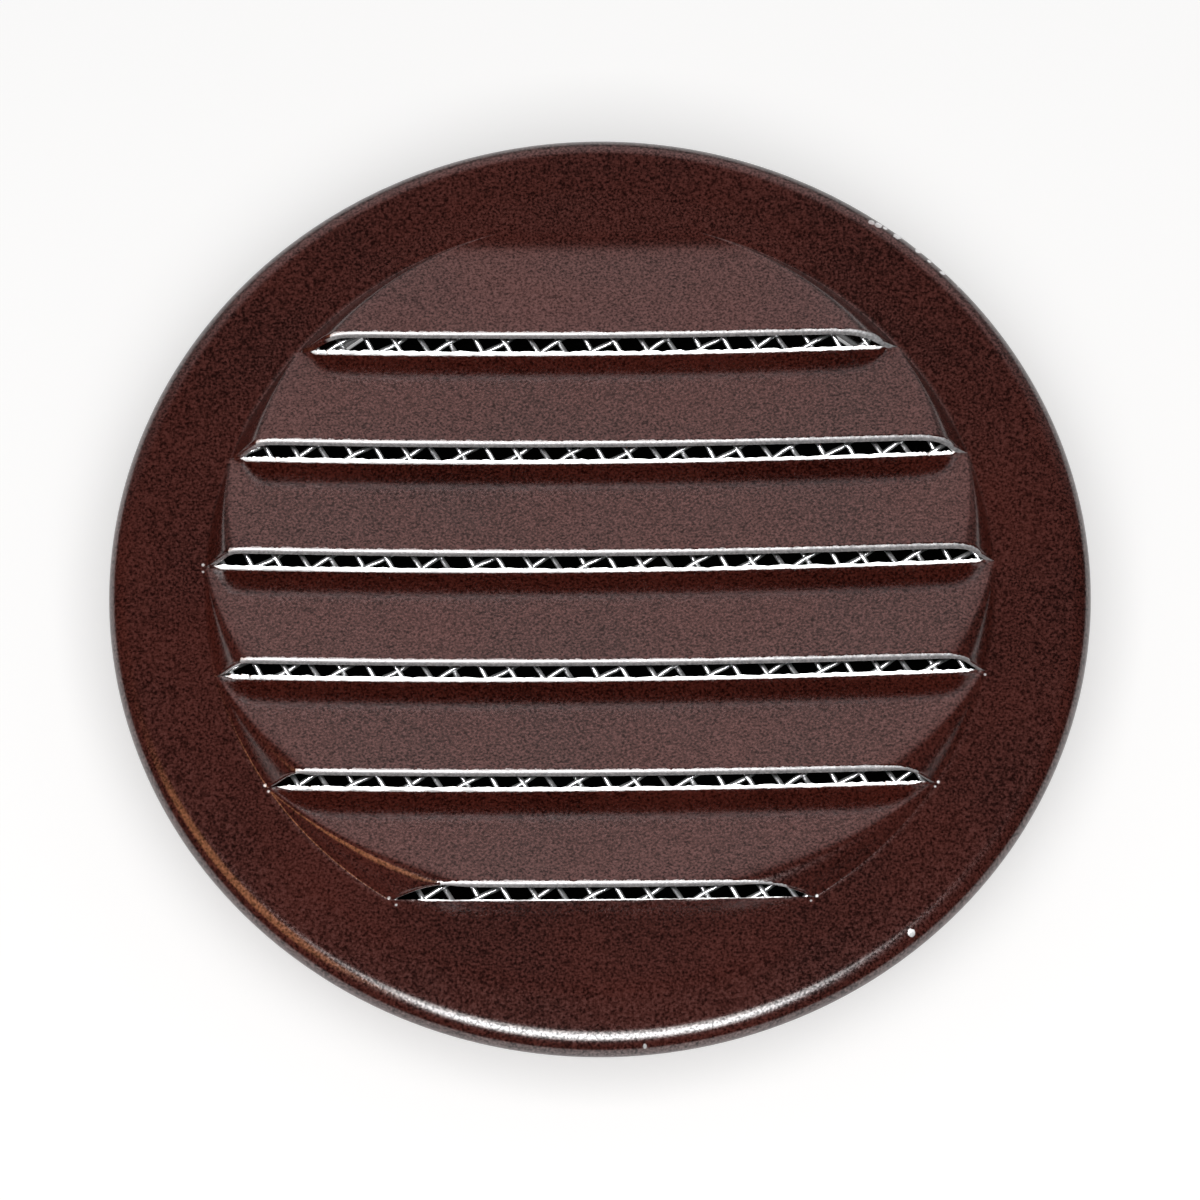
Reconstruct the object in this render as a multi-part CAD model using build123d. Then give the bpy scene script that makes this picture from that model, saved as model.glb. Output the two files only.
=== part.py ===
from build123d import *
import math
import os

# Round mini louver for a wall or soffit hole: a painted louvred face whose rim is rolled over
# the flange of a push-in collar, with a wire insect screen clamped between the two.
# Millimetres. Z is the collar's axis and the face looks towards +Z. The slots run along X and
# the hoods open towards -Y. The origin is the centre of the collar's back end.

# Collar, a plain sleeve with an outward flange
wall_hole_diameter = 50.8
collar_clearance = 0.2
collar_depth = 9.5
collar_sheet = 0.4
collar_bend = 0.4

# Face sheet and its rolled rim
flange_overhang = 3.1
face_sheet = 0.4
rim_roll_width = 1.0
hem_bend = 0.2
hem_width = 2.0
rim_clearance = 0.1

# Louvers, lanced and pushed out of the face
louver_inset = 2.06
slot_count = 6
top_land = 1.57
bottom_land = 3.44
hood_rise = 2.1
end_wall_run = 1.5
hood_round = 0.77
bend_setback = 0.05

# Dish of the louvred field, and of the cloth behind it, at the middle of the face
dish_depth = 1.25

# Wire cloth, with one gap standing for a block of cells
wire_diameter = 0.28
weft_pitch = 1.588
warp_pitch = 1.411
cells_per_gap = 3
cloth_angle = 30.4
cloth_border = 0.5
smallest_gap_share = 0.15

# Reach of a cutting tool past the metal that it cuts
tool_overrun = 0.5

# Radii from the collar outwards
collar_radius = wall_hole_diameter / 2 - collar_clearance
bore_radius = collar_radius - collar_sheet
flange_radius = collar_radius + flange_overhang
roll_start_radius = flange_radius - rim_roll_width
collar_flange_radius = flange_radius - face_sheet - hem_bend - rim_clearance
screen_radius = roll_start_radius - rim_clearance
louver_radius = bore_radius - louver_inset
dish_radius = bore_radius

# Levels from the collar's back end up to the outside of the face
seat_level = collar_depth
hem_top_level = seat_level + face_sheet
collar_top_level = hem_top_level + collar_sheet
screen_thickness = 2 * wire_diameter
screen_top_level = collar_top_level + screen_thickness
face_level = screen_top_level + face_sheet

# Louver pattern: each blade keeps its flat length, so its lip draws back as it tilts
first_bend_y = louver_radius - top_land
slot_pitch = (2 * louver_radius - top_land - bottom_land) / slot_count
blade_tilt = math.asin(hood_rise / slot_pitch)
blade_run = slot_pitch * math.cos(blade_tilt)
blade_slope = math.tan(blade_tilt)
end_wall_slope = hood_rise / end_wall_run

# Radius of curvature of the dish at its middle
dish_curve = dish_radius**2 / (2 * dish_depth)


def prism(corners, half_length):
    """Extrude a closed outline, given as (y, z) corners, along X to both sides."""
    outline = Plane.YZ * make_face(Polyline(*corners, close=True))
    return extrude(outline, half_length, both=True)


def ring(outline):
    """Turn a closed outline, given as lines in (radius, z), round the collar's axis."""
    return revolve(Plane.XZ * make_face(outline), Axis.Z)


def ball(centre, radius):
    """Ball with its poles along Y, clear of the face."""
    return Pos(*centre) * Rot(90, 0, 0) * Sphere(radius)


def half_chord(radius, y):
    """Half the length of the chord that the line at y cuts from a circle."""
    return math.sqrt(radius**2 - y**2)


def spread(step, reach):
    """Evenly stepped places within reach to both sides of 0."""
    count = math.floor(reach / step)
    return [index * step for index in range(-count, count + 1)]


def dish_ball(level):
    """Ball that sinks the dish into a layer whose top is at a level."""
    radius = dish_curve + dish_depth / 2
    return ball((0, 0, level - dish_depth + radius), radius)


def blade_point(bend_y, y):
    """Level of a dished blade's outside at y on the middle line, and its tilt there."""
    dish = dish_depth - y**2 / (2 * dish_curve)
    level = face_level + (bend_y - bend_setback - y) * blade_slope - dish
    return level, math.atan(blade_slope - y / dish_curve)


def blade_ball(bend_y):
    """Ball whose underside is the outside of one blade."""
    middle_y = bend_y - slot_pitch / 2
    level, tilt = blade_point(bend_y, middle_y)
    radius = dish_curve / math.cos(tilt)
    return ball((0, middle_y + radius * math.sin(tilt), level + radius * math.cos(tilt)), radius)


def hood_body(bend_y):
    """Solid form of one hood, from its bend line to its lance line, rooted below the face."""
    root_level = face_level - hood_rise - dish_depth
    top_level = face_level + slot_pitch * blade_slope
    lance_y = bend_y - slot_pitch
    back_y = bend_y + slot_pitch / 2
    span = prism(
        [(back_y, root_level), (back_y, top_level), (lance_y, top_level), (lance_y, root_level)],
        2 * louver_radius,
    )
    end_walls = Pos(0, 0, (root_level + top_level) / 2) * Cone(
        louver_radius + (face_level - root_level) / end_wall_slope,
        louver_radius + (face_level - top_level) / end_wall_slope,
        top_level - root_level,
    )
    body = (span & end_walls) - blade_ball(bend_y)
    shoulders = body.edges().filter_by(GeomType.BSPLINE)
    return fillet(shoulders, min(hood_round, hood_rise / 2))


def lip_trim(bend_y):
    """Cutter that squares the lip to its blade, back from the lance line."""
    lip_y = bend_y - blade_run
    lip_level, tilt = blade_point(bend_y, lip_y)
    drawn_back = slot_pitch - blade_run
    half_span = half_chord(louver_radius, bend_y - slot_pitch)
    bow = math.sin(tilt) * half_span**2 / (2 * dish_curve)
    reach = bow + drawn_back + tool_overrun
    outline = make_face(
        [
            ThreePointArc((-half_span, -bow), (0, 0), (half_span, -bow)),
            Line((half_span, -bow), (half_span, -reach)),
            Line((half_span, -reach), (-half_span, -reach)),
            Line((-half_span, -reach), (-half_span, -bow)),
        ]
    )
    square_to_blade = (0, math.sin(tilt), math.cos(tilt))
    lip_plane = Plane(origin=(0, lip_y, lip_level), x_dir=(1, 0, 0), z_dir=square_to_blade)
    below = drawn_back / math.sin(tilt)
    return lip_plane * Pos(0, 0, -below) * extrude(outline, below + hood_rise)


def rolled_rim():
    """Rim of the face, rolled down and hemmed under the collar's flange."""
    turn_level = hem_top_level + hem_bend
    roll_height = face_level - turn_level
    roll_centre = (roll_start_radius, turn_level)
    hem_centre = (flange_radius - face_sheet - hem_bend, turn_level)
    hem_edge = flange_radius - hem_width
    outline = [
        EllipticalCenterArc(roll_centre, rim_roll_width, roll_height, arc_size=90),
        CenterArc(hem_centre, hem_bend + face_sheet, 270, 90),
        Line((hem_centre[0], seat_level), (hem_edge, seat_level)),
        Line((hem_edge, seat_level), (hem_edge, hem_top_level)),
        Line((hem_edge, hem_top_level), (hem_centre[0], hem_top_level)),
        CenterArc(hem_centre, hem_bend, 270, 90),
        EllipticalCenterArc(
            roll_centre, rim_roll_width - face_sheet, roll_height - face_sheet, arc_size=90
        ),
        Line((roll_start_radius, face_level - face_sheet), (roll_start_radius, face_level)),
    ]
    return ring(outline)


def louver_face():
    """One stamping: flange, dished hoods with open lances, and the rolled rim."""
    bends = [first_bend_y - index * slot_pitch for index in range(slot_count)]
    block_depth = 2 * (hood_rise + dish_depth)
    form = Pos(0, 0, face_level - block_depth / 2) * Cylinder(roll_start_radius, block_depth)
    form -= dish_ball(face_level)
    for bend_y in bends:
        form += hood_body(bend_y)
    sheet = form - Pos(0, 0, -face_sheet) * form
    for bend_y in bends:
        sheet -= lip_trim(bend_y)
    return sheet + rolled_rim()


def dished_layer(radius, bottom_level, top_level):
    """Round layer of even height, dished like the face."""
    height = top_level - bottom_level
    block_depth = height + 2 * dish_depth
    block = Pos(0, 0, top_level - block_depth / 2) * Cylinder(radius, block_depth)
    form = block - dish_ball(top_level)
    return form - Pos(0, 0, -height) * form


def insect_screen():
    """Wire cloth as one dished wall: gaps on a turned grid, wire ridges on both faces, a flat edge."""
    bar_width = cells_per_gap * wire_diameter
    cloth_radius = bore_radius - cloth_border
    weft_gap, warp_gap = cells_per_gap * weft_pitch, cells_per_gap * warp_pitch
    weft_offsets = spread(weft_gap, cloth_radius - bar_width)
    warp_offsets = spread(warp_gap, cloth_radius - bar_width)
    turn = Rot(0, 0, cloth_angle)
    middle = collar_top_level + screen_thickness / 2

    bars = Sketch()
    for offset in weft_offsets:
        bars += Pos(0, offset) * Rectangle(2 * screen_radius, bar_width)
    for offset in warp_offsets:
        bars += Pos(offset, 0) * Rectangle(bar_width, 2 * screen_radius)
    openings = Circle(cloth_radius) - bars
    smallest = smallest_gap_share * (weft_gap - bar_width) * (warp_gap - bar_width)
    gaps = [face for face in openings.faces() if face.area > smallest]

    wall = dished_layer(cloth_radius, middle - wire_diameter / 2, middle + wire_diameter / 2)
    upper_layer = dished_layer(cloth_radius, middle, screen_top_level)
    lower_layer = dished_layer(cloth_radius, collar_top_level, middle)
    tool_height = 2 * (dish_depth + screen_thickness)
    edge = dished_layer(screen_radius, collar_top_level, screen_top_level)
    edge -= Pos(0, 0, middle) * Cylinder(cloth_radius, tool_height)
    at_middle = turn * Pos(0, 0, middle)
    cloth = wall - [at_middle * extrude(gap, tool_height, both=True) for gap in gaps]
    for offset in weft_offsets:
        length = 2 * half_chord(cloth_radius, offset)
        cloth += upper_layer & at_middle * Pos(0, offset, 0) * Box(length, wire_diameter, tool_height)
    for offset in warp_offsets:
        length = 2 * half_chord(cloth_radius, offset)
        cloth += lower_layer & at_middle * Pos(offset, 0, 0) * Box(wire_diameter, length, tool_height)
    return cloth + edge


def collar():
    """Sleeve for the wall hole, turned outwards into a flange that lies on the hem."""
    bend_centre = (collar_radius + collar_bend, hem_top_level - collar_bend)
    outline = [
        Line((collar_radius, 0), (collar_radius, bend_centre[1])),
        CenterArc(bend_centre, collar_bend, 90, 90),
        Line((bend_centre[0], hem_top_level), (collar_flange_radius, hem_top_level)),
        Line((collar_flange_radius, hem_top_level), (collar_flange_radius, collar_top_level)),
        Line((collar_flange_radius, collar_top_level), (bend_centre[0], collar_top_level)),
        CenterArc(bend_centre, collar_bend + collar_sheet, 90, 90),
        Line((bore_radius, bend_centre[1]), (bore_radius, 0)),
        Line((bore_radius, 0), (collar_radius, 0)),
    ]
    return ring(outline)


pieces = {
    "louver_face": louver_face(),
    "insect_screen": insect_screen(),
    "collar": collar(),
}

os.makedirs("parts", exist_ok=True)
for node, piece in pieces.items():
    export_step(piece, f"parts/{node}.step")
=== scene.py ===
import math

import bpy
import numpy as np
from mathutils import Matrix, Vector


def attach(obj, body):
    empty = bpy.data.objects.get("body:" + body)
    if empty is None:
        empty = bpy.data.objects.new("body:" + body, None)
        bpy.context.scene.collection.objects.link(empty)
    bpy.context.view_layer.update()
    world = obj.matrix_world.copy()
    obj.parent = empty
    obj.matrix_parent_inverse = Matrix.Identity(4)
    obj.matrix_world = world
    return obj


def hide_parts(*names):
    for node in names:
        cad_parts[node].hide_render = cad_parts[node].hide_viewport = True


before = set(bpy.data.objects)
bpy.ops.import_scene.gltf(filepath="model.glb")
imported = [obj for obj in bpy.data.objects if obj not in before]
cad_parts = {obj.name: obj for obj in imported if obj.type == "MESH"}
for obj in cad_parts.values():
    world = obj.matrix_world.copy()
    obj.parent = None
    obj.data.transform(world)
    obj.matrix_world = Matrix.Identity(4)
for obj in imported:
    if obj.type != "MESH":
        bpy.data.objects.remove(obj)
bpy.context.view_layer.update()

# Sizes in millimetres, as in the solids; meshes are scaled to metres when they are made
MM = 0.001
SHEET = 0.4
WIRE_RADIUS = 0.14

# Collar
COLLAR_RADIUS = 25.2
COLLAR_FLANGE_RADIUS = 27.6
COLLAR_BEND = 0.4
COLLAR_EDGE_ROUND = 0.06

# Levels from the collar's back end up to the outside of the face
SEAT_LEVEL = 9.5
HEM_TOP_LEVEL = SEAT_LEVEL + SHEET
COLLAR_TOP_LEVEL = HEM_TOP_LEVEL + SHEET
SCREEN_MIDDLE = COLLAR_TOP_LEVEL + 2 * WIRE_RADIUS
FACE_LEVEL = SCREEN_MIDDLE + 2 * WIRE_RADIUS + SHEET

# Louvers
LOUVER_RADIUS = 22.74
SLOT_COUNT = 6
TOP_LAND = 1.57
BOTTOM_LAND = 3.44
FIRST_BEND_Y = LOUVER_RADIUS - TOP_LAND
SLOT_PITCH = (2 * LOUVER_RADIUS - TOP_LAND - BOTTOM_LAND) / SLOT_COUNT
HOOD_RISE = 2.1
BLADE_TILT = math.asin(HOOD_RISE / SLOT_PITCH)
END_WALL_SLOPE = 1.5
END_WALL_FOOT = 0.15
SHOULDER_POWER_LEFT = 5.0
SHOULDER_POWER_RIGHT = 3.2
BEND_SOFTNESS = 0.95

# Dish of the louvred field and of the cloth behind it
DISH_DEPTH = 1.25
DISH_RADIUS = COLLAR_RADIUS - SHEET
DISH_EDGE_SOFTNESS = 0.03

# Rolled rim and hem
RIM_RADIUS = 28.29
ROLL_WIDTH = 1.3
ROLL_START_RADIUS = RIM_RADIUS - ROLL_WIDTH
HEM_BEND = 0.2
HEM_CENTRE_RADIUS = RIM_RADIUS - SHEET - HEM_BEND
HEM_EDGE_RADIUS = 26.3
TURN_LEVEL = HEM_TOP_LEVEL + HEM_BEND

# Sheared edges: the burr under each slot and the rounding along each lip
BURR_WIDTH = 0.2
BURR_RISE = 0.25
BURR_REACH = 0.1
BURR_MEAN = 0.75
BURR_WAVE = 0.4
LAST_BURR = 0.3
LIP_ROUND = 0.18
INNER_BLEND = 0.58

# Waves along a cut edge: radians per millimetre, then radians from one edge to the next
RAG_WAVES = ((3.5, 2.1), (8.9, 1.3), (18.9, 4.7), (32.6, 0.6))

# Paint that covers the cut edges towards their ends, as extra distance from the edge
TIP_FADE = 0.96
TIP_COVER = 0.45
LIP_END_SHARE = 0.9
LIP_END_FADE = 0.15
LAST_STRIP_COVER = 0.14
FAR = 4.0

# Rows and columns of the face's mesh, closer together at the cut edges and the slots' ends
TOP_ROWS = np.array([0.0, 0.06, 0.13, 0.20, 0.30, 0.43])
LIP_ROWS = np.array([0.0, 0.012, 0.035, 0.07, 0.12, 0.18, 0.28, 0.43])
BLADE_ROWS = 13
CAP_ROWS = 18
FOOT_ROWS = 20
FOOT_ROW_GAP = 0.58
POLE_ANGLE = 89.0
COLUMN_SPLIT = 0.84
MIDDLE_COLUMNS = 56
END_COLUMNS = 31
FLANGE_RINGS = 11
ROLL_POINTS = 15
BEND_POINTS = 9
HEM_POINTS = 5
SHARP_ANGLE = math.radians(40)
TINY = 1e-6

# Wire cloth, 18 by 16 to the inch
WEFT_PITCH = 1.596
WARP_PITCH = 1.4025
WEFT_ANGLE = math.radians(31.0)
WARP_ANGLE = math.radians(119.6)
WEFT_OFFSET = 0.113
WARP_OFFSET = 0.055
SCREEN_RADIUS = 27.1
WIRE_SIDES = 8
STEPS_PER_CELL = 5
FEWEST_STEPS = 4

# Mesh of the collar
COLLAR_SEGMENTS = 360
COLLAR_ROWS = 8

# Camera, fitted to the photograph's outline and slot tips
VIEW_TILT = math.radians(21.63)
VIEW_DISTANCE = 313.1
VIEW_DROP = 1.281
VIEW_ROLL = math.radians(-0.45)
LENS = 163.5
SENSOR = 36.0
CLIP_NEAR = 10.0
CLIP_FAR = 20000.0


def dish(radius):
    """Height of the dished face at a radius, below the flange."""
    inside = 1 - (radius / DISH_RADIUS) ** 2
    return -DISH_DEPTH * (inside + np.sqrt(inside**2 + DISH_EDGE_SOFTNESS**2)) / 2


def arc(centre, radii, turns):
    """Points (radius, level) of a round or elliptical bend at the given turns, in radians."""
    return [(centre[0] + radii[0] * math.cos(t), centre[1] + radii[1] * math.sin(t)) for t in turns]


def make_mesh(name, points, faces, smooth=True):
    """Mesh object from points in millimetres."""
    mesh = bpy.data.meshes.new(name)
    mesh.from_pydata((np.asarray(points) * MM).tolist(), [], faces)
    mesh.polygons.foreach_set("use_smooth", [smooth] * len(mesh.polygons))
    mesh.update()
    piece = bpy.data.objects.new(name, mesh)
    bpy.context.scene.collection.objects.link(piece)
    return piece


def add_attribute(piece, name, domain, values):
    """Store one number per point or per face for the material to read."""
    attribute = piece.data.attributes.new(name, "FLOAT", domain)
    attribute.data.foreach_set("value", np.asarray(values, dtype=np.float32))


def ragged(x, seed):
    """Uneven wave along a cut edge, between -1 and 1."""
    return sum(np.sin(pace * x + shift * seed) for pace, shift in RAG_WAVES) / len(RAG_WAVES)


def arc_rows(start, end, count):
    """Flat y of rows that are evenly spaced round the louvers' circle, between angles in degrees."""
    return LOUVER_RADIUS * np.sin(np.radians(np.linspace(start, end, count)))


def circle_angle(y):
    """Angle in degrees at which the louvers' circle has a given y."""
    return math.degrees(math.asin(y / LOUVER_RADIUS))


def band_rows():
    """Flat y of every row of each band between lances, from the top of the face down."""
    inner = np.linspace(TOP_ROWS[-1], SLOT_PITCH - LIP_ROWS[-1], BLADE_ROWS)[1:-1]
    blade = np.concatenate([TOP_ROWS, inner, SLOT_PITCH - LIP_ROWS[::-1]])
    cap = arc_rows(POLE_ANGLE, circle_angle(FIRST_BEND_Y), CAP_ROWS)
    bands = [np.concatenate([cap[:-1], FIRST_BEND_Y - blade])]
    for index in range(1, SLOT_COUNT):
        bands.append(FIRST_BEND_Y - index * SLOT_PITCH - blade)
    foot_y = FIRST_BEND_Y - SLOT_COUNT * SLOT_PITCH
    foot = arc_rows(circle_angle(foot_y), -POLE_ANGLE, FOOT_ROWS)
    bands.append(np.concatenate([foot_y - TOP_ROWS, foot[foot < foot_y - FOOT_ROW_GAP]]))
    return bands


def columns():
    """Shares of the half chord at which every row has its points."""
    middle = np.linspace(0, COLUMN_SPLIT, MIDDLE_COLUMNS)
    ends = np.linspace(COLUMN_SPLIT, 1.0, END_COLUMNS)[1:]
    half = np.concatenate([middle, ends])
    return np.concatenate([-half[:0:-1], half])


def blade_height(x, y, bend_y):
    """Height of a hood over the flange and the share of its full tilt that it has there."""
    run = bend_y - y
    soft = np.where(
        run < BEND_SOFTNESS,
        np.clip(run + BEND_SOFTNESS, 0, None) ** 2 / (4 * BEND_SOFTNESS),
        run,
    )
    run = np.where(bend_y == FIRST_BEND_Y, soft, np.clip(run, 0, None))
    plane = run * math.sin(BLADE_TILT)
    wall = np.clip(LOUVER_RADIUS - np.hypot(x, y), 0, None) * END_WALL_SLOPE
    end = wall**2 / (wall + END_WALL_FOOT)
    power = np.where(x < 0, SHOULDER_POWER_LEFT, SHOULDER_POWER_RIGHT)
    low = np.minimum(plane, end)
    high = np.maximum(plane, end) + TINY
    height = low / (1 + (low / high) ** power) ** (1 / power)
    return height, height / (plane + TINY)


def unit(vectors):
    """Vectors scaled to length 1."""
    return vectors / (np.linalg.norm(vectors, axis=-1, keepdims=True) + TINY**2)


def face_band(index, rows, shares):
    """Outer and inner points of one band of the face, distances to its cut edges, and its bare lip."""
    bend_y = FIRST_BEND_Y - index * SLOT_PITCH
    is_foot = index == SLOT_COUNT
    chord = np.sqrt(LOUVER_RADIUS**2 - rows**2)
    x = chord[:, None] * shares[None, :]
    flat_y = np.repeat(rows[:, None], len(shares), axis=1)
    radius = np.hypot(x, flat_y)
    if is_foot:
        height, share = np.zeros_like(x), np.zeros_like(x)
    else:
        height, share = blade_height(x, flat_y, bend_y)
    y = flat_y + np.clip(bend_y - flat_y, 0, None) * (1 - math.cos(BLADE_TILT)) * share
    z = FACE_LEVEL + height + dish(radius)
    outer = np.stack([x, y, z], axis=-1)

    along = np.gradient(outer, axis=1)
    down = np.gradient(outer, axis=0)
    inset = np.clip((LOUVER_RADIUS - radius) / INNER_BLEND, 0, 1)[..., None]
    normal = unit(unit(np.cross(down, along)) * inset + np.array([0, 0, 1.0]) * (1 - inset))
    inner = outer - SHEET * normal

    tip = np.clip((LOUVER_RADIUS - radius) / TIP_FADE, 0, 1)
    top_edge = np.full_like(x, FAR)
    lip_edge = np.full_like(x, FAR)
    painted_end = np.clip((LIP_END_SHARE - share) / LIP_END_FADE, 0, 1) * (x < 0)
    if index > 0:
        top_edge = bend_y - flat_y
        size = tip * (LAST_BURR if is_foot else 1.0)
        wave = BURR_MEAN + BURR_WAVE * ragged(x, index + 1)
        burr = size * wave * np.exp(-top_edge / BURR_WIDTH)
        outer[..., 1] += BURR_REACH * burr
        outer[..., 2] += BURR_RISE * burr
        top_edge = top_edge + TIP_COVER * (1 - tip) + (LAST_STRIP_COVER if is_foot else 0.0)
    if not is_foot:
        lip_edge = flat_y - (bend_y - SLOT_PITCH)
        inward = np.clip(LIP_ROUND - lip_edge, 0, LIP_ROUND)
        drop = LIP_ROUND - np.sqrt(LIP_ROUND**2 - inward**2)
        outer -= (drop * tip)[..., None] * normal
        lip_edge = lip_edge + TIP_COVER * np.maximum(1 - tip, painted_end)
    return outer, inner, top_edge, lip_edge, 1 - painted_end[-1]


def rim_outline():
    """Radius and level of the rim's outside, hem and inside, from the flange's face round to its back."""
    turns = np.radians(np.linspace(90, 0, ROLL_POINTS))
    bend = np.radians(np.linspace(0, -90, BEND_POINTS))[1:]
    roll_centre = (ROLL_START_RADIUS, TURN_LEVEL)
    hem_centre = (HEM_CENTRE_RADIUS, TURN_LEVEL)
    roll_rise = FACE_LEVEL - TURN_LEVEL
    wide = HEM_BEND + SHEET
    outside = arc(roll_centre, (ROLL_WIDTH, roll_rise), turns)
    outside += arc(hem_centre, (wide, wide), bend)
    outside += [(r, SEAT_LEVEL) for r in np.linspace(HEM_CENTRE_RADIUS, HEM_EDGE_RADIUS, HEM_POINTS)[1:]]
    inside = [(r, HEM_TOP_LEVEL) for r in np.linspace(HEM_EDGE_RADIUS, HEM_CENTRE_RADIUS, HEM_POINTS - 1)]
    inside += arc(hem_centre, (HEM_BEND, HEM_BEND), bend[::-1][1:])
    inside += arc(roll_centre, (ROLL_WIDTH - SHEET, roll_rise - SHEET), turns[::-2])
    return outside, inside


def build_face():
    """The louvred face as one sheet: hoods, lances, flange, rolled rim and hem."""
    shares = columns()
    width = len(shares)
    points, top_edges, lip_edges, faces, cut = [], [], [], [], []

    def add_points(block, top=None, lip=None):
        start = len(points)
        block = np.asarray(block).reshape(-1, 3)
        points.extend(block.tolist())
        count = len(block)
        top_edges.extend(np.ravel(top).tolist() if top is not None else [FAR] * count)
        lip_edges.extend(np.ravel(lip).tolist() if lip is not None else [FAR] * count)
        return np.arange(start, start + count)

    def add_quads(grid, is_cut=0.0):
        a, b = grid[:-1, :-1], grid[1:, :-1]
        c, d = grid[1:, 1:], grid[:-1, 1:]
        quads = np.stack([a, b, c, d], axis=-1).reshape(-1, 4)
        faces.extend(quads.tolist())
        cut.extend(np.broadcast_to(is_cut, len(quads)).tolist())

    def add_fan(pole, row):
        for left, right in zip(row[:-1], row[1:]):
            faces.append([pole, left, right])
            cut.append(0.0)

    # Bands between the lances, joined at the slots' tips, with an outer and an inner side
    grids, lips = [], []
    for index, rows in enumerate(band_rows()):
        outer, inner, top, lip, bare_lip = face_band(index, rows, shares)
        shape = (len(rows), width)
        upper = add_points(outer, top, lip).reshape(shape)
        lower = add_points(inner).reshape(shape)
        if grids:
            for grid, above in ((upper, grids[-1][0]), (lower, grids[-1][1])):
                grid[0, 0], grid[0, -1] = above[-1, 0], above[-1, -1]
        grids.append((upper, lower))
        lips.append((bare_lip[:-1] + bare_lip[1:]) / 2)
    for upper, lower in grids:
        add_quads(upper)
        add_quads(lower[:, ::-1])
    for (upper, lower), (next_upper, next_lower), bare_lip in zip(grids[:-1], grids[1:], lips):
        add_quads(np.stack([upper[-1], lower[-1]]), bare_lip)
        add_quads(np.stack([next_upper[0], next_lower[0]])[:, ::-1], 1.0)

    # Top and foot of the louvers' circle, and the circle itself on both sides of the sheet
    circles = []
    for side, level in ((0, FACE_LEVEL), (1, FACE_LEVEL - SHEET)):
        pole_level = level + float(dish(LOUVER_RADIUS))
        top_pole = add_points([[0, LOUVER_RADIUS, pole_level]])[0]
        foot_pole = add_points([[0, -LOUVER_RADIUS, pole_level]])[0]
        first, last = grids[0][side][0], grids[-1][side][-1]
        add_fan(top_pole, first if side == 0 else first[::-1])
        add_fan(foot_pole, last[::-1] if side == 0 else last)
        left = [top_pole]
        right = []
        for number, pair in enumerate(grids):
            rows = pair[side] if number == 0 else pair[side][1:]
            left.extend(rows[:, 0])
            right.extend(rows[:, -1])
        circles.append(np.array(left + [foot_pole] + right[::-1]))

    # Flange, rolled rim and hem, as rings round the circle
    placed = np.array([points[i] for i in circles[0]])
    angle = np.arctan2(placed[:, 1], placed[:, 0])
    outward = np.stack([np.cos(angle), np.sin(angle)], axis=-1)

    def add_ring(radius, level):
        plane = outward * radius
        heights = np.full((len(angle), 1), level)
        return add_points(np.concatenate([plane, heights], axis=1))

    outside, inside = rim_outline()
    flange = np.linspace(LOUVER_RADIUS, ROLL_START_RADIUS, FLANGE_RINGS)[1:-1]
    rings = [circles[0]]
    rings += [add_ring(r, FACE_LEVEL + float(dish(r))) for r in flange]
    rings += [add_ring(r, z) for r, z in outside]
    hem_row = len(rings) - 1
    rings += [add_ring(r, z) for r, z in inside]
    rings += [add_ring(r, FACE_LEVEL - SHEET + float(dish(r))) for r in flange[::-1]]
    rings.append(circles[1])
    for row, (near, far) in enumerate(zip(rings[:-1], rings[1:])):
        grid = np.stack([np.append(near, near[0]), np.append(far, far[0])])
        add_quads(grid, 1.0 if row == hem_row else 0.0)

    face = make_mesh("louver_face_sheet", points, faces)
    add_attribute(face, "top_edge", "POINT", top_edges)
    add_attribute(face, "lip_edge", "POINT", lip_edges)
    add_attribute(face, "cut", "FACE", cut)
    face.data.set_sharp_from_angle(angle=SHARP_ANGLE)
    return face


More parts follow.
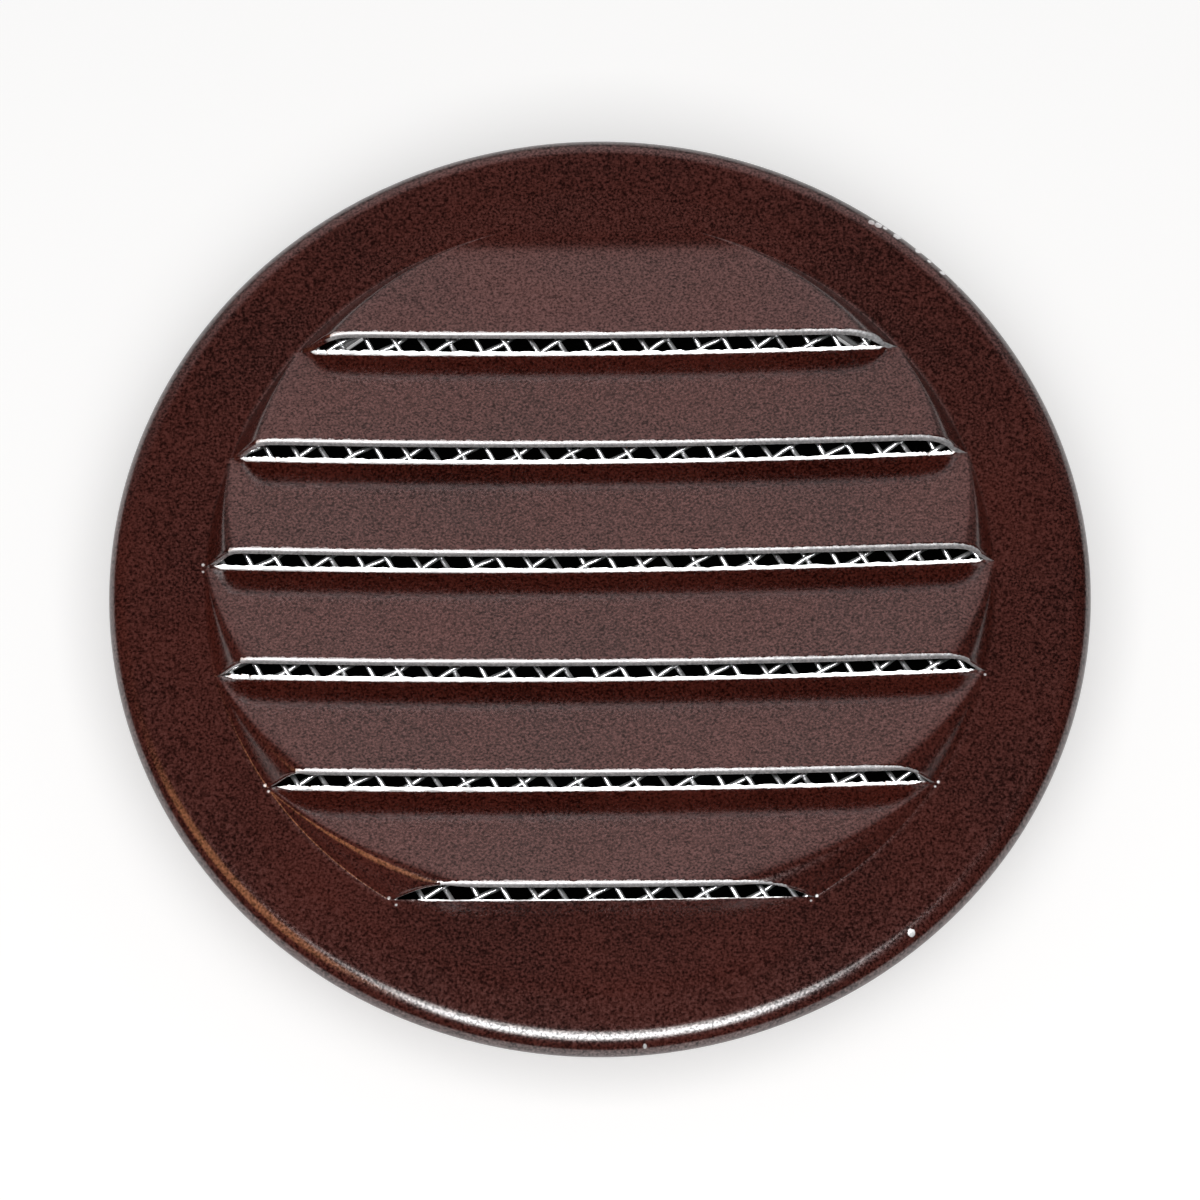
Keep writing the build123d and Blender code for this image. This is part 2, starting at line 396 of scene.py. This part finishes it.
def build_screen():
    """Plain-weave wire cloth, crimped over and under, dished with the face."""
    reach = math.ceil(SCREEN_RADIUS / WARP_PITCH) + 1
    ring_angle = np.linspace(0, 2 * math.pi, WIRE_SIDES, endpoint=False)
    weft = np.array([math.cos(WEFT_ANGLE), math.sin(WEFT_ANGLE)])
    warp = np.array([math.cos(WARP_ANGLE), math.sin(WARP_ANGLE)])
    across_weft = np.array([-weft[1], weft[0]])
    across_warp = np.array([warp[1], -warp[0]])
    families = (
        (weft, across_weft, WEFT_PITCH, WEFT_OFFSET, across_warp, WARP_PITCH, WARP_OFFSET, -1),
        (warp, across_warp, WARP_PITCH, WARP_OFFSET, across_weft, WEFT_PITCH, WEFT_OFFSET, 1),
    )
    points, faces = [], []
    for direction, sideways, pitch, offset, other_across, other_pitch, other_offset, side in families:
        left = np.array([-direction[1], direction[0]])
        travel = np.arange(-SCREEN_RADIUS, SCREEN_RADIUS, other_pitch / STEPS_PER_CELL)
        for index in range(-reach, reach + 1):
            line = (offset + index * pitch) * sideways + travel[:, None] * direction
            place = line[np.hypot(line[:, 0], line[:, 1]) < SCREEN_RADIUS]
            if len(place) < FEWEST_STEPS:
                continue
            crossing = (place @ other_across - other_offset) / other_pitch
            crimp = side * WIRE_RADIUS * np.cos(math.pi * (crossing + index))
            level = SCREEN_MIDDLE + dish(np.hypot(place[:, 0], place[:, 1])) + crimp
            tilt = np.arctan(np.gradient(level) / np.gradient(place @ direction))
            start = len(points)
            for (px, py), pz, lean in zip(place, level, tilt):
                for turn in ring_angle:
                    flat = WIRE_RADIUS * math.cos(turn)
                    lift = WIRE_RADIUS * math.sin(turn)
                    back = -lift * math.sin(lean)
                    points.append((
                        px + flat * left[0] + back * direction[0],
                        py + flat * left[1] + back * direction[1],
                        pz + lift * math.cos(lean),
                    ))
            count = len(place)
            for ring in range(count - 1):
                for corner in range(WIRE_SIDES):
                    a = start + ring * WIRE_SIDES + corner
                    b = start + ring * WIRE_SIDES + (corner + 1) % WIRE_SIDES
                    faces.append([b, a, a + WIRE_SIDES, b + WIRE_SIDES])
            faces.append([start + corner for corner in range(WIRE_SIDES)])
            last = start + (count - 1) * WIRE_SIDES
            faces.append([last + corner for corner in reversed(range(WIRE_SIDES))])
    return make_mesh("insect_screen_cloth", points, faces)


def collar_outline():
    """Radius and level round the collar's section, from the back end's outside to its inside."""
    bore = COLLAR_RADIUS - SHEET
    bend_centre = (COLLAR_RADIUS + COLLAR_BEND, HEM_TOP_LEVEL - COLLAR_BEND)
    bend_level = bend_centre[1]
    turns = np.radians(np.linspace(180, 90, BEND_POINTS))
    wide = COLLAR_BEND + SHEET
    soft = COLLAR_EDGE_ROUND
    set_back = soft / 3
    outline = [(COLLAR_RADIUS - soft, 0.0), (COLLAR_RADIUS - set_back, set_back), (COLLAR_RADIUS, soft)]
    outline += [(COLLAR_RADIUS, z) for z in np.linspace(0, bend_level, COLLAR_ROWS)[1:]]
    outline += arc(bend_centre, (COLLAR_BEND, COLLAR_BEND), turns[1:])
    outline += [(COLLAR_FLANGE_RADIUS, HEM_TOP_LEVEL), (COLLAR_FLANGE_RADIUS, COLLAR_TOP_LEVEL)]
    outline += arc(bend_centre, (wide, wide), turns[::-1])
    outline += [(bore, z) for z in np.linspace(bend_level, 0, COLLAR_ROWS)[1:-1]]
    outline += [(bore, soft), (bore + set_back, set_back), (bore + soft, 0.0)]
    return outline


def build_collar():
    """The push-in sleeve with its outward flange, and a bare cut edge at the back."""
    outline = collar_outline()
    angle = np.linspace(0, 2 * math.pi, COLLAR_SEGMENTS, endpoint=False)
    points, faces, cut = [], [], []
    for radius, level in outline:
        points.extend((radius * math.cos(t), radius * math.sin(t), level) for t in angle)
    rows = len(outline)
    for row in range(rows):
        following = (row + 1) % rows
        bare = 1.0 if row in (rows - 1, rows - 2, 0) else 0.0
        for column in range(COLLAR_SEGMENTS):
            onward = (column + 1) % COLLAR_SEGMENTS
            faces.append([
                row * COLLAR_SEGMENTS + column,
                row * COLLAR_SEGMENTS + onward,
                following * COLLAR_SEGMENTS + onward,
                following * COLLAR_SEGMENTS + column,
            ])
            cut.append(bare)
    collar = make_mesh("collar_sleeve", points, faces)
    add_attribute(collar, "cut", "FACE", cut)
    collar.data.set_sharp_from_angle(angle=SHARP_ANGLE)
    return collar


class Graph:
    """Short way to add and link the nodes of one material or world."""

    def __init__(self, tree):
        self.tree = tree

    def add(self, kind, inputs=None, **settings):
        node = self.tree.nodes.new(kind)
        for name, value in settings.items():
            setattr(node, name, value)
        for key, value in (inputs or {}).items():
            self.set(node, key, value)
        return node

    def set(self, node, key, value):
        if isinstance(value, bpy.types.NodeSocket):
            self.tree.links.new(value, node.inputs[key])
        else:
            node.inputs[key].default_value = value

    def math(self, operation, first, second=0.0, third=0.0):
        node = self.add("ShaderNodeMath", {0: first, 1: second, 2: third}, operation=operation)
        return node.outputs[0]

    def ramp(self, value, span, result=(0.0, 1.0)):
        inputs = {
            "Value": value,
            "From Min": span[0],
            "From Max": span[1],
            "To Min": result[0],
            "To Max": result[1],
        }
        return self.add("ShaderNodeMapRange", inputs).outputs[0]

    def mix(self, share, first, second):
        node = self.add("ShaderNodeMix", data_type="RGBA")
        self.set(node, 0, share)
        self.set(node, 6, first)
        self.set(node, 7, second)
        return node.outputs[2]

    def noise(self, coordinates, scale, detail=2.0, roughness=0.5):
        inputs = {"Vector": coordinates, "Scale": scale, "Detail": detail, "Roughness": roughness}
        return self.add("ShaderNodeTexNoise", inputs).outputs[0]

    def attribute(self, name):
        return self.add("ShaderNodeAttribute", attribute_name=name).outputs["Fac"]

    def largest(self, *values):
        result = values[0]
        for value in values[1:]:
            result = self.math("MAXIMUM", result, value)
        return result


def new_material(name):
    """Material with its node graph, its shader and the piece's own coordinates, in metres."""
    material = bpy.data.materials.new(name)
    material.use_nodes = True
    graph = Graph(material.node_tree)
    shader = material.node_tree.nodes["Principled BSDF"]
    coordinates = graph.add("ShaderNodeTexCoord").outputs["Object"]
    return material, graph, shader, coordinates


def grey(value):
    """Grey colour of a given lightness."""
    return (value, value, value, 1.0)


def metres(*lengths):
    """Lengths in millimetres as metres."""
    return tuple(length * MM for length in lengths)


# Span of noise that is stretched over a range of looks
NOISE_SPAN = (0.3, 0.7)

# Baked paint: two tones, mixed by a fine grain and a soft cloud
PAINT_DARK = (0.008, 0.0012, 0.0008, 1.0)
PAINT_LIGHT = (0.063, 0.0124, 0.0082, 1.0)
PAINT_SPAN = (0.39, 0.61)
GRAIN_SCALE = 6800.0
GRAIN_ROUGHNESS = 0.6
GRAIN_SHARE = 0.8
CLOUD_SCALE = 95.0
CLOUD_DETAIL = 3.0
PAINT_ROUGHNESS = (0.15, 0.23)
GLOSS_SPAN = (0.33, 0.67)
PAINT_GLOSS = (0.25, 1.0)
PAINT_IOR = 1.75
BUMP_STRENGTH = 0.25
BUMP_DEPTH = 0.01

# Bare sheared aluminium, duller and rougher where it does not gleam
BARE_METAL = (0.90, 0.91, 0.92, 1.0)
DULL_METAL = (0.30, 0.31, 0.32, 1.0)
STREAK_SCALE = 5000.0
STREAK_DETAIL = 3.0
STREAK_ROUGHNESS = 0.7
STREAK_SPAN = (0.35, 0.65)
STREAK_SHARE = 0.5
METAL_ROUGHNESS = (0.55, 0.40)
DULL_ROUGHNESS = 0.3
COLLAR_GLEAM = 0.3

# How far bare metal shows from the cut edges, from the left to the right of the face
RAG_SCALE = 3100.0
RAG_DETAIL = 3.0
RAG_ROUGHNESS = 0.6
STRIP_SPAN = metres(-12.0, 20.0)
STRIP_REACH = (0.18, 0.10)
STRIP_RAG = 0.08
STRIP_EDGE = 0.015
LIP_SPAN = metres(-5.0, 20.0)
LIP_REACH = (0.36, 0.20)
LIP_EDGE = 0.01
# How much the bare lip metal gleams, less from the left to the right of the face
GLEAM_SPAN_ACROSS = metres(0.0, 18.0)
GLEAM_ACROSS = (0.6, 0.1)

# Where paint has chipped off the face: x and y in millimetres, then radius
RIM_CHIPS = [
    (16.2, 22.5, 0.20), (16.6, 22.35, 0.22), (17.0, 22.2, 0.15), (17.7, 21.65, 0.24), (18.9, 20.75, 0.20),
    (19.55, 20.05, 0.14), (20.3, 19.3, 0.18), (21.2, 18.45, 0.08), (17.3, -21.5, 0.22), (2.3, -27.9, 0.10),
]
TIP_NICKS = [
    (-22.83, 1.06, 0.09), (-22.82, 0.63, 0.06), (21.94, -6.05, 0.07), (-19.06, -12.42, 0.09),
    (-18.86, -12.79, 0.07), (19.09, -12.53, 0.08), (18.89, -12.80, 0.06), (-11.99, -19.21, 0.08),
    (-11.59, -19.60, 0.07), (12.06, -19.26, 0.08), (11.72, -19.53, 0.06),
]
CHIP_FLATTEN = (1.0, 1.0, 0.1)
CHIP_EDGE = 0.03
CHIP_RAG = 0.5

# Drawn wire of the cloth
WIRE_DULL = (0.72, 0.73, 0.74, 1.0)
WIRE_BRIGHT = (0.92, 0.92, 0.93, 1.0)
WIRE_METALLIC = 0.92
WIRE_ROUGHNESS = (0.26, 0.33)
WIRE_STREAK_SCALE = 3700.0

# Floor, with a dark pad of painted shade inside the collar's foot, so the floor seen through the slots
# stays black
FLOOR_HALF = 1500.0
FLOOR_WHITE = 0.90
FLOOR_WHITER = 0.92
FLOOR_CLOUD_SCALE = 6.0
FLOOR_ROUGHNESS = 0.9
FLOOR_GLOW = 0.42
SHADE_PAD_BLACK = 0.01
SHADE_PAD_SPAN = metres(24.6, 24.7)

# World: what reflections see above and behind the part, and the soft fill
SKY = 0.03
BACKDROP = 0.3
BACKDROP_SPAN = (0.45, 0.85)
FILL = 0.16


def paint_layers(graph, coordinates):
    """Colour, roughness and fine relief of the baked paint."""
    grain = graph.noise(coordinates, GRAIN_SCALE, roughness=GRAIN_ROUGHNESS)
    cloud = graph.noise(coordinates, CLOUD_SCALE, CLOUD_DETAIL)
    clouded = graph.math("MULTIPLY", cloud, 1 - GRAIN_SHARE)
    share = graph.math("MULTIPLY_ADD", grain, GRAIN_SHARE, clouded)
    colour = graph.mix(graph.ramp(share, PAINT_SPAN), PAINT_DARK, PAINT_LIGHT)
    roughness = graph.ramp(grain, NOISE_SPAN, PAINT_ROUGHNESS)
    return colour, roughness, grain


def metal_layers(graph, coordinates, gleam):
    """Colour and roughness of bare sheared aluminium, brighter where gleam is 1."""
    streak = graph.noise(coordinates, STREAK_SCALE, STREAK_DETAIL, STREAK_ROUGHNESS)
    share = graph.math("MULTIPLY_ADD", graph.ramp(streak, STREAK_SPAN), STREAK_SHARE, gleam)
    colour = graph.mix(graph.ramp(share, (0.0, 1.0)), DULL_METAL, BARE_METAL)
    dulled = graph.math("SUBTRACT", 1.0, gleam)
    drawn = graph.ramp(streak, NOISE_SPAN, METAL_ROUGHNESS)
    roughness = graph.math("MULTIPLY_ADD", dulled, DULL_ROUGHNESS, drawn)
    return colour, roughness


def finish_paint(graph, shader, coordinates, bare, gleam):
    """Painted sheet with bare metal wherever the mask is 1."""
    paint, paint_rough, grain = paint_layers(graph, coordinates)
    metal, metal_rough = metal_layers(graph, coordinates, gleam)
    graph.set(shader, "Base Color", graph.mix(bare, paint, metal))
    graph.set(shader, "Metallic", bare)
    rough = graph.add("ShaderNodeMix", {0: bare, 2: paint_rough, 3: metal_rough}, data_type="FLOAT")
    graph.set(shader, "Roughness", rough.outputs[0])
    graph.set(shader, "IOR", PAINT_IOR)
    graph.set(shader, "Specular IOR Level", graph.ramp(grain, GLOSS_SPAN, PAINT_GLOSS))
    relief = {"Strength": BUMP_STRENGTH, "Distance": BUMP_DEPTH * MM, "Height": grain}
    graph.set(shader, "Normal", graph.add("ShaderNodeBump", relief).outputs[0])


def within_reach(graph, reach, edge, softness):
    """Mask that is 1 where a cut edge is nearer than reach."""
    inside = graph.math("SUBTRACT", reach, graph.attribute(edge))
    return graph.ramp(inside, (-softness, softness))


def chip_mask(graph, coordinates, rag):
    """Mask that is 1 in the chips and nicks of the paint."""
    flat = graph.add("ShaderNodeVectorMath", {0: coordinates, 1: CHIP_FLATTEN}, operation="MULTIPLY")
    chips = []
    for x, y, radius in RIM_CHIPS + TIP_NICKS:
        centre = metres(x, y, FACE_LEVEL * CHIP_FLATTEN[2])
        spot = graph.add("ShaderNodeVectorMath", {0: flat.outputs[0], 1: centre}, operation="DISTANCE")
        reach = graph.math("MULTIPLY", graph.math("ADD", rag, CHIP_RAG), radius * MM)
        inside = graph.math("SUBTRACT", reach, spot.outputs["Value"])
        chips.append(graph.ramp(inside, metres(-CHIP_EDGE, CHIP_EDGE)))
    return graph.largest(*chips)


def face_material():
    """Paint that is worn to bare metal along the cut edges and chipped in places."""
    material, graph, shader, coordinates = new_material("face_paint")
    rag = graph.noise(coordinates, RAG_SCALE, RAG_DETAIL, RAG_ROUGHNESS)
    across = graph.add("ShaderNodeSeparateXYZ", {0: coordinates}).outputs["X"]
    strip_reach = graph.math("MULTIPLY_ADD", rag, STRIP_RAG, graph.ramp(across, STRIP_SPAN, STRIP_REACH))
    strip = within_reach(graph, strip_reach, "top_edge", STRIP_EDGE)
    lip_reach = graph.math("MULTIPLY", rag, graph.ramp(across, LIP_SPAN, LIP_REACH))
    lip = within_reach(graph, lip_reach, "lip_edge", LIP_EDGE)
    cut = graph.attribute("cut")
    chipped = chip_mask(graph, coordinates, rag)
    bare = graph.largest(strip, lip, cut, chipped)
    uncut = graph.math("SUBTRACT", 1.0, cut)
    # Bare metal duller towards +X, away from the cut faces
    gleam_across = graph.math("MULTIPLY", graph.ramp(across, GLEAM_SPAN_ACROSS, GLEAM_ACROSS), uncut)
    finish_paint(graph, shader, coordinates, bare, graph.largest(strip, chipped, gleam_across))
    return material


def collar_material():
    """The same paint, with a bare cut edge."""
    material, graph, shader, coordinates = new_material("collar_paint")
    finish_paint(graph, shader, coordinates, graph.attribute("cut"), COLLAR_GLEAM)
    return material


def wire_material():
    """Bright drawn wire with fine streaks."""
    material, graph, shader, coordinates = new_material("screen_wire")
    streak = graph.noise(coordinates, WIRE_STREAK_SCALE, STREAK_DETAIL)
    graph.set(shader, "Base Color", graph.mix(graph.ramp(streak, NOISE_SPAN), WIRE_DULL, WIRE_BRIGHT))
    graph.set(shader, "Metallic", WIRE_METALLIC)
    graph.set(shader, "Roughness", graph.ramp(streak, NOISE_SPAN, WIRE_ROUGHNESS))
    return material


def floor_material():
    """White floor seen from above only, with a dark pad of painted shade inside the collar's foot."""
    material, graph, shader, coordinates = new_material("floor_white")
    middle = graph.add("ShaderNodeVectorMath", {0: coordinates}, operation="LENGTH").outputs["Value"]
    white = graph.mix(graph.noise(coordinates, FLOOR_CLOUD_SCALE), grey(FLOOR_WHITE), grey(FLOOR_WHITER))
    # Painted shade: a near-black pad with no glow inside the collar keeps the slots black
    off_shade_pad = graph.ramp(middle, SHADE_PAD_SPAN)
    graph.set(shader, "Base Color", graph.mix(off_shade_pad, grey(SHADE_PAD_BLACK), white))
    graph.set(shader, "Roughness", FLOOR_ROUGHNESS)
    graph.set(shader, "Specular IOR Level", 0.0)
    path = graph.add("ShaderNodeLightPath").outputs
    seen = graph.largest(path["Is Camera Ray"], path["Is Glossy Ray"], path["Is Transmission Ray"])
    glow = graph.math("MULTIPLY", graph.math("MULTIPLY", seen, off_shade_pad), FLOOR_GLOW)
    graph.set(shader, "Emission Color", white)
    graph.set(shader, "Emission Strength", glow)
    clear = graph.add("ShaderNodeBsdfTransparent")
    behind = graph.add("ShaderNodeNewGeometry").outputs["Backfacing"]
    both = graph.add("ShaderNodeMixShader", {0: behind, 1: shader.outputs[0], 2: clear.outputs[0]})
    graph.set(material.node_tree.nodes["Material Output"], "Surface", both.outputs[0])
    return material


def build_floor():
    """Wide floor at the level of the collar's back end."""
    half = FLOOR_HALF
    corners = [(-half, -half, 0), (half, -half, 0), (half, half, 0), (-half, half, 0)]
    floor = make_mesh("floor", corners, [[0, 1, 2, 3]], False)
    floor.data.materials.append(floor_material())
    return floor


def area_light(name, lit, angle, azimuth, distance, size, radiance, colour):
    """Soft rectangular light, in metres, that shines only at the pieces in lit.

    The angle is off straight up; azimuth 0 is +X and 90 is +Y, both in degrees.
    """
    width, height = size
    light = bpy.data.lights.new(name, "AREA")
    light.shape = "RECTANGLE"
    light.size = width
    light.size_y = height
    light.energy = radiance * math.pi * width * height
    light.color = colour
    lamp = bpy.data.objects.new(name, light)
    off, round_z = math.radians(angle), math.radians(azimuth)
    sideways = Vector((math.cos(round_z), math.sin(round_z), 0)) * math.sin(off)
    towards = sideways + Vector((0, 0, math.cos(off)))
    lamp.location = Vector((0, 0, FACE_LEVEL * MM)) + towards * distance
    lamp.rotation_mode = "QUATERNION"
    lamp.rotation_quaternion = towards.to_track_quat("Z", "Y")
    group = bpy.data.collections.new("lit by " + name)
    for piece in lit:
        group.objects.link(piece)
    lamp.light_linking.receiver_collection = group
    bpy.context.scene.collection.objects.link(lamp)


def build_lights(face, screen, collar, floor):
    """Soft key from the front with a brighter middle, a long narrow lamp for the cloth, a warm side
    light and a panel behind."""
    body = (face, collar)
    area_light(
        "key", (*body, floor), angle=22, azimuth=-90, distance=0.4,
        size=(0.26, 0.275), radiance=4.8, colour=(1.0, 0.99, 0.98),
    )
    area_light(
        "key_core", body, angle=24, azimuth=-90, distance=0.4,
        size=(0.24, 0.12), radiance=9.0, colour=(0.97, 0.98, 1.0),
    )
    area_light(
        "cloth_key", (screen,), angle=16.5, azimuth=-90, distance=0.4,
        size=(2.0, 0.04), radiance=48.0, colour=(1.0, 1.0, 1.0),
    )
    area_light(
        "warm_side", body, angle=42, azimuth=200, distance=0.35,
        size=(0.18, 0.18), radiance=1.8, colour=(1.0, 0.42, 0.18),
    )
    area_light(
        "back_panel", body, angle=58, azimuth=90, distance=0.5,
        size=(0.60, 0.32), radiance=0.46, colour=(1.0, 0.53, 0.50),
    )


def build_world():
    """Dark studio with a paler backdrop for reflections, white for the camera, and a plain soft fill."""
    world = bpy.data.worlds.new("studio")
    bpy.context.scene.world = world
    world.use_nodes = True
    graph = Graph(world.node_tree)
    coordinates = graph.add("ShaderNodeTexCoord").outputs["Generated"]
    behind = graph.add("ShaderNodeSeparateXYZ", {0: coordinates}).outputs["Y"]
    studio = graph.mix(graph.ramp(behind, BACKDROP_SPAN), grey(SKY), grey(BACKDROP))
    path = graph.add("ShaderNodeLightPath").outputs
    mirrored = graph.largest(path["Is Glossy Ray"], path["Is Transmission Ray"])
    unseen = graph.mix(mirrored, grey(FILL), studio)
    background = world.node_tree.nodes["Background"]
    graph.set(background, "Color", graph.mix(path["Is Camera Ray"], unseen, grey(1.0)))
    graph.set(background, "Strength", 1.0)


def build_camera():
    """Camera at the photograph's angle."""
    camera = bpy.data.objects.new("camera", bpy.data.cameras.new("camera"))
    camera.data.lens = LENS
    camera.data.sensor_width = SENSOR
    camera.data.clip_start, camera.data.clip_end = metres(CLIP_NEAR, CLIP_FAR)
    back = Vector((0, -math.sin(VIEW_TILT), math.cos(VIEW_TILT)))
    up = Vector((0, math.cos(VIEW_TILT), math.sin(VIEW_TILT)))
    centre = Vector((0, 0, FACE_LEVEL))
    place = centre + back * VIEW_DISTANCE
    target = centre - up * VIEW_DROP
    look = (target - place).to_track_quat("-Z", "Y").to_matrix().to_4x4()
    camera.matrix_world = Matrix.Translation(place * MM) @ look @ Matrix.Rotation(VIEW_ROLL, 4, "Z")
    bpy.context.scene.collection.objects.link(camera)
    bpy.context.scene.camera = camera


face = build_face()
face.data.materials.append(face_material())
screen = build_screen()
screen.data.materials.append(wire_material())
collar = build_collar()
collar.data.materials.append(collar_material())

for piece, node, slot in (
    (face, "louver_face", "face_paint"),
    (screen, "insect_screen", "screen_wire"),
    (collar, "collar", "collar_paint"),
):
    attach(piece, "root")
    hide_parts(node)

floor = build_floor()
build_lights(face, screen, collar, floor)
build_world()
build_camera()
bpy.context.scene.view_settings.view_transform = "Standard"
